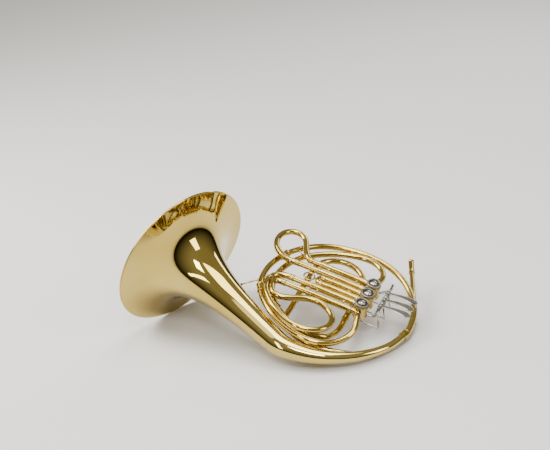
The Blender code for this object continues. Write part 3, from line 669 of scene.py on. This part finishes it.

# %% [markdown]
# ## Valves
#
# A rotary valve is a turned casing with a rolled edge at each end, shut by a screwed cap. The cap has a
# bright dome inside a groove whose floor is painted dark as shade, and a dull rim. Each is spun from its own
# profile, so that the three looks stay apart.

# %% Casings and caps
CASING_R = 13.6
CAP_FACE = 46.9
DOME_R = 7.2
UPWARDS = Vector((0, 0, 1))
CASING = [(15, 12.3), (15, CASING_R + 0.9), (17.6, CASING_R + 0.9), (18.2, CASING_R + 0.1),
          (20, CASING_R), (38.4, CASING_R), (40, CASING_R + 0.1), (40.6, CASING_R + 0.9),
          (43, CASING_R + 0.9), (43, 12.3)]
CAP = [(43.3, 0), (43.3, 13.1), (43.8, CASING_R), (46.6, CASING_R), (47.6, 13.1), (48.1, 12.4),
       (48.1, 11.2), (47.7, 10.8), (CAP_FACE, 10.5), (CAP_FACE, DOME_R + 0.2), (CAP_FACE, 0)]
DOME = [(CAP_FACE + 0.05, 0), (CAP_FACE + 0.05, DOME_R), (47.3, DOME_R), (48.3, 6.4), (49.2, 4.9),
        (49.8, 2.9), (50.0, 0)]
GROOVE = [(CAP_FACE + 0.02, 7.3), (CAP_FACE + 0.15, 7.3), (CAP_FACE + 0.15, 10.4), (CAP_FACE + 0.02, 10.4)]
for number, valve_y in enumerate(VALVE_Y, 1):
    centre = valve(VALVE_X, valve_y, 0.0)
    turned(f"casing_{number}", centre, UPWARDS, CASING, BRASS, sides=64, nodes=[f"valve_casing_{number}"],
           soften=0.3)
    turned(f"cap_rim_{number}", centre, UPWARDS, CAP, CAP_RIM, sides=64, nodes=[f"valve_cap_{number}"],
           soften=0.2)
    turned(f"cap_dome_{number}", centre, UPWARDS, DOME, NICKEL, soften=0.1)
    # A thin flat ring at the bottom of the cap's recess, painted near black: painted shade of the groove.
    turned(f"cap_groove_shade_{number}", centre, UPWARDS, GROOVE, GROOVE_SHADE, sides=64, soften=0)
print("casings", 2 * CASING_R, "mm wide")

# %% [markdown]
# ### Ports and knuckles
#
# Each casing has two short ports to its slide, with a nickel silver ring where a port meets the outer
# tube, and a knuckle leads the air to the next valve. They are plain stubs of tube that start inside a
# casing, so no seam shows there.

# %% Ports and knuckles
PORT_R = 6.2
KNUCKLE_R = 6.3
for k in range(3):
    for side, y in zip(("upper", "lower"), SLIDE_Y[k]):
        name = f"{k + 1}_{side}"
        tube(f"port_{name}", [valve(VALVE_X - 5.0, y, PORT_Z), valve(SLEEVE_START + 0.5, y, PORT_Z)],
             PORT_R, caps=True)
        collar(f"port_ring_{name}", valve(SLEEVE_START - 1.4, y, PORT_Z), OUTWARD, SLEEVE_R, width=2.6,
               proud=0.7, mat=NICKEL)
for k in range(2):
    tube(f"knuckle_{k + 1}", [valve(VALVE_X, VALVE_Y[k] - 13.0, PORT_Z),
                              valve(VALVE_X, VALVE_Y[k + 1] + 13.0, PORT_Z)], KNUCKLE_R)
for name, y in (("inlet", VALVE_Y[0] + 15.8), ("outlet", VALVE_Y[2] - 15.8)):
    collar(f"{name}_collar", valve(VALVE_X, y, PORT_Z), valve(0, 1, 0), BRANCH_R, width=2.8, proud=1.0,
           mat=NICKEL)
print("three valves")

# %% [markdown]
# ## Levers
#
# Three touch pieces swing on one hinge rod between two posts. The posts are bent rods, so they are tubes
# along short paths. The rod is one plain bar, and a small screw closes each end of it.

# %% Hinge and posts
HINGE_X, HINGE_Z = 86.5, 32.0
HINGE_Y = (-15.0, 66.0)
HINGE_R = 1.95
POST_R = 2.3
hinge_axis = valve(0, 1, 0)
tube("hinge_pin", [valve(HINGE_X, y, HINGE_Z) for y in HINGE_Y], HINGE_R, STEEL, nodes=["hinge_rod"],
     caps=True)
lower_y, upper_y = HINGE_Y[0] - 2.8, HINGE_Y[1] + 2.8
feet = {"lower": (lower_y, [(71.1, lower_y - 2, 19), (78, lower_y - 1, 19)]),
        "upper": (upper_y, [(68.5, VALVE_Y[0] + 9.5, 19), (77, upper_y - 9, 19)])}
for name, (y, foot) in feet.items():
    route = [valve(*point) for point in foot] + [valve(HINGE_X, y, z) for z in (24, 30, 35.5)]
    tube(f"post_{name}", smooth(route), POST_R, NICKEL, nodes=[f"hinge_post_{name}"], caps=True)
    turned(f"post_screw_{name}", valve(HINGE_X, y, HINGE_Z), hinge_axis if y > 0 else -hinge_axis,
           [(2.0, 0), (2.0, 2.6), (3.0, 2.8), (3.6, 2.2), (3.8, 0)], NICKEL, sides=24, soften=0.1)
print("hinge", HINGE_Y[1] - HINGE_Y[0], "mm long")

# %% [markdown]
# ### Touch pieces
#
# A touch piece is forged: narrow at the hinge, wide and slightly crowned under the finger, round at the
# tip. A grid's points are moved onto a curved spine, with the width from a sine and the round tip from
# a circle. Solidify gives it a thickness and one level of Subdivision Surface rounds it all over.

# %% Touch pieces
LEVER_Y = (45.5, 24.5, 4.5)
LEVER_TIP_X = 147.0
TOUCH_THICKNESS = 1.8
NECK_HALF = 3.6
TOUCH_SWELL = 4.4
TIP_STARTS = 0.86


def touch_half_width(share):
    """Half the width of a touch piece, from 0 at the hinge to 1 at its tip."""
    swell = math.sin(math.pi * min(1.0, max(0.0, (share - 0.25) / 1.35)))
    tip = max(0.0, (share - TIP_STARTS) / (1.0 - TIP_STARTS))
    return (NECK_HALF + TOUCH_SWELL * swell) * math.sqrt(max(0.03, 1.0 - tip ** 2))


def spatula(name, spine, body, nodes):
    """A touch piece that follows the spine."""
    bm = bmesh.new()
    bmesh.ops.create_grid(bm, x_segments=26, y_segments=8, size=1.0)
    total = [0.0]
    for a, b in zip(spine, spine[1:]):
        total.append(total[-1] + (b - a).length)
    for vert in bm.verts:
        share, across = (vert.co.x + 1.0) / 2.0, vert.co.y
        index = min(range(len(spine)), key=lambda i: abs(total[i] / total[-1] - share))
        before = spine[max(index - 1, 0)]
        after = spine[min(index + 1, len(spine) - 1)]
        exact = spine[index] + (after - before).normalized() * (share * total[-1] - total[index])
        half = touch_half_width(share)
        crown = 0.9 - 0.45 * across ** 2 * min(1.0, half / 6.0)
        vert.co = exact + hinge_axis * half * across + UPWARDS * crown
    bmesh.ops.solidify(bm, geom=bm.faces[:], thickness=TOUCH_THICKNESS)
    obj = piece(name, bm, NICKEL, body=body, nodes=nodes, soften=0, angle=180.0)
    fine = obj.modifiers.new("fine", "SUBSURF")
    fine.levels = fine.render_levels = 1


reach = LEVER_TIP_X - HINGE_X
spine = smooth([valve(2, 0, 0), valve(reach * 0.3, 0, 3.0), valve(reach * 0.6, 0, 4.5),
                valve(reach * 0.85, 0, 4.0), valve(reach, 0, 2.5)])
for number, y in enumerate(LEVER_Y, 1):
    hub = valve(HINGE_X, y, HINGE_Z)
    body = f"lever_{number}_body"
    spatula(f"touch_piece_{number}", [hub + p for p in spine], body, [f"lever_{number}"])
    turned(f"hinge_tube_{number}", hub, hinge_axis,
           [(-5.5, 2.3), (-5.5, 4.0), (-4.6, 4.2), (-4.0, 3.9), (4.0, 3.9), (4.6, 4.2), (5.5, 4.0),
            (5.5, 2.3)], NICKEL, body=body, sides=40, soften=0.12)
print("touch pieces", 2 * (NECK_HALF + TOUCH_SWELL), "mm wide")

# %% [markdown]
# ### Arms, springs and links
#
# Below the hinge each lever has a bent arm that drives a straight link, and the link's eye lies under the
# rotor's stop arm. A coil spring on the rod lifts the lever. A Screw modifier could wind it, but it turns
# about its object's own axis and every object here stays at the origin, so a loop works out the helix.

# %% Arms, springs and links
BALL_X, BALL_Z = 98.0, 3.0
PIN = 5.0 * math.cos(math.radians(45))
PIN_Z = 3.4
LINK_R = 1.25
SPRING_R = 3.1
SPRING_LENGTH = 6.0
WIRE_R = 0.45
TURNS, TURN_STEPS = 5, 16
EYE = [(-1.9, 0), (-1.9, 2.8), (-1.4, 3.0), (1.4, 3.0), (1.9, 2.8), (1.9, 0)]
BALL = [(2.3 * math.cos(math.pi * i / 12), 2.6 * math.sin(math.pi * i / 12) if 0 < i < 12 else 0)
        for i in range(13)]


def coil(y):
    """The wire of a spring on the hinge rod, with its middle at y."""
    wire = []
    for i in range(TURNS * TURN_STEPS + 1):
        angle = 2.0 * math.pi * i / TURN_STEPS
        along = SPRING_LENGTH * (i / (TURNS * TURN_STEPS) - 0.5)
        wire.append(valve(HINGE_X + SPRING_R * math.cos(angle), y + along,
                          HINGE_Z + SPRING_R * math.sin(angle)))
    return wire


for number, (y, valve_y) in enumerate(zip(LEVER_Y, VALVE_Y), 1):
    hub = valve(HINGE_X, y, HINGE_Z)
    link_y = valve_y - PIN
    ball_y = link_y - y
    knee = [valve(3.1, math.copysign(0.6, ball_y), -2.6), valve(4, ball_y * 0.35, -8),
            valve(8.5, ball_y * 0.9, -18), valve(BALL_X - HINGE_X, ball_y, BALL_Z - HINGE_Z + 4.8)]
    tube(f"lever_arm_{number}", [hub + p for p in smooth(knee)], lambda t: 1.9 - 0.3 * t, NICKEL,
         body=f"lever_{number}_body", caps=True)
    tube(f"coil_spring_{number}", coil(y - 10.5), WIRE_R, STEEL, nodes=[f"lever_spring_{number}"], sides=3)
    body = f"link_{number}_body"
    pin, ball = valve(VALVE_X + PIN, link_y, PIN_Z), valve(BALL_X, link_y, BALL_Z)
    tube(f"link_shank_{number}", [pin, ball], LINK_R, NICKEL, body=body, nodes=[f"link_rod_{number}"],
         sides=4)
    turned(f"link_eye_{number}", pin, UPWARDS, EYE, NICKEL, body=body, sides=32, soften=0.1)
    turned(f"link_ball_{number}", ball, UPWARDS, BALL, NICKEL, body=body, sides=32, soften=0)
print("three levers")

# %% [markdown]
# ## Stays
#
# Turned stays hold the ring to the inner tubing, and short ones tie each pair of slide tubes. A stay runs
# between the nearest points of two paths, so it stays soldered at both feet if a path is changed.

# %% Ring stays


def nearest(path, point):
    """The path's point that is closest to a point."""
    return min(path, key=lambda p: (p - point).length)


for name, outer_path, degrees in (("left", first, 166.0), ("lower", left, -146.0), ("upper", first, 122.0)):
    start = nearest(outer_path, polar(degrees, 150, RING_Z))
    other = nearest(inlet, start)
    way = (other - start).normalized() * BRANCH_R
    stay(f"ring_stay_{name}", start + way, other - way, foot=3.2, nodes=[f"ring_brace_{name}"])
print("ring stays done")

# %% [markdown]
# ### Bell stay and slide stays
#
# The bell's stay is long and stands on the flare, so its foot is placed by the flare's own formula. Each
# pair of slide tubes has short stays, so that the tubes stay parallel and the slides run freely.

# %% Bell stay and slide stays
STAY_R = 1.5
throat = BELL_RIM.lerp(BELL_THROAT, 0.50)
outward = Vector((0.0, math.cos(math.radians(25.0)), math.sin(math.radians(25.0))))
foot = throat + outward * (flare(throat.x - RIM_X) + 1.0)
tube_at = nearest(left, polar(-146, 151, 13))
way = (foot - tube_at).normalized() * BRANCH_R
stay("bell_stay", tube_at + way, foot, radius=STAY_R, foot=3.2, nodes=["bell_brace"])
for k, x in ((0, 20.0), (0, -40.0), (2, 20.0), (2, -36.0), (1, 18.0)):
    upper, lower = SLIDE_Y[k]
    stay(f"slide_stay_{k + 1}_{int(abs(x))}", valve(x, upper - 6.4, PORT_Z), valve(x, lower + 6.4, PORT_Z),
         radius=STAY_R, foot=2.6)
print("stays done")

# %% [markdown]
# ## Nodes that keep their own shape
#
# The rotors, bearing plates and stop arms are plain turned and filed parts, mostly out of sight. Making
# them again would add nothing, so they stay as they are and only get their metal.

# %% Kept nodes
for number in (1, 2, 3):
    for name, mat in (("rotor", STEEL), ("bearing_plate", BRASS), ("stop_arm", NICKEL)):
        for mesh_slot in frame["nodes"][f"{name}_{number}"].material_slots:
            mesh_slot.material = mat
print("kept nodes finished")

# %% [markdown]
# ## Floor and light
#
# Polished brass shows the room more than itself, so the lights are broad rectangles that the tubes draw
# out into long highlights: a big one at the bell's side, one overhead and four smaller ones round about.
# A weak sun with a wide angle gives soft shadows, and the floor is pale and matt, so that it lights the
# tubes from below without a reflection of its own.

# %% Floor
bpy.ops.mesh.primitive_plane_add(size=9.0)
floor = bpy.context.object
floor.name = "floor"
floor_mat = bpy.data.materials.new("floor_look")
floor_mat.use_nodes = True
floor_mat.node_tree.nodes["Principled BSDF"].inputs["Base Color"].default_value = colour("#D8D6D2")
floor_mat.node_tree.nodes["Principled BSDF"].inputs["Roughness"].default_value = 0.9
floor.data.materials.append(floor_mat)
print("floor laid")

# %% Lamps


def lamp(name, place, size, power, tint="#FFFFFF"):
    """A rectangular light, aimed a little above the floor under the horn."""
    data = bpy.data.lights.new(name, "AREA")
    data.shape = "RECTANGLE"
    data.size, data.size_y = size
    data.energy = power
    data.color = colour(tint)[:3]
    obj = bpy.data.objects.new(name, data)
    obj.location = Vector(place)
    obj.rotation_euler = (Vector((0.0, 0.0, 0.06)) - obj.location).to_track_quat("-Z", "Y").to_euler()
    bpy.context.collection.objects.link(obj)


lamp("key", (-1.5, -0.9, 1.5), (1.1, 1.5), 72.0, "#FFFDF8")
lamp("top", (0.3, 0.2, 2.4), (1.6, 1.0), 42.0)
lamp("fill", (1.9, 0.6, 1.3), (0.6, 1.0), 16.0)
lamp("back", (-0.5, 2.2, 1.2), (1.6, 0.35), 14.0)
lamp("strip", (0.5, -2.0, 1.2), (0.22, 1.3), 9.0)
lamp("front", (1.25, -1.1, 2.15), (0.8, 0.5), 26.0)
sun_data = bpy.data.lights.new("daylight", "SUN")
sun_data.energy = 1.0
sun_data.angle = math.radians(50.0)
sun = bpy.data.objects.new("daylight", sun_data)
sun.rotation_euler = (math.radians(18.0), math.radians(-22.0), 0.0)
bpy.context.collection.objects.link(sun)
print(len(bpy.data.lights), "lights")

# %% [markdown]
# ### Surroundings
#
# An even white world would fill the brass with flat light. This one is grey above and nearly black at the
# horizon, which puts a dark edge on every tube. A world has no surface, so here the Generated coordinate
# is the view's direction, and its Z is the height that the ramp turns to a colour.

# %% Surroundings
world = bpy.data.worlds.new("studio")
bpy.context.scene.world = world
world.use_nodes = True
sky = world.node_tree
around = add(sky, "ShaderNodeTexCoord", {})
height = add(sky, "ShaderNodeSeparateXYZ", {}, (around.outputs["Generated"], "Vector"))
shade = add(sky, "ShaderNodeValToRGB", {}, (height.outputs["Z"], "Fac"))
set_ramp(shade, (0.02, "#24221F"), (0.6, "#BDBAB3"))
background = sky.nodes["Background"]
background.inputs["Strength"].default_value = 0.8
sky.links.new(shade.outputs["Color"], background.inputs["Color"])
print("studio lit")
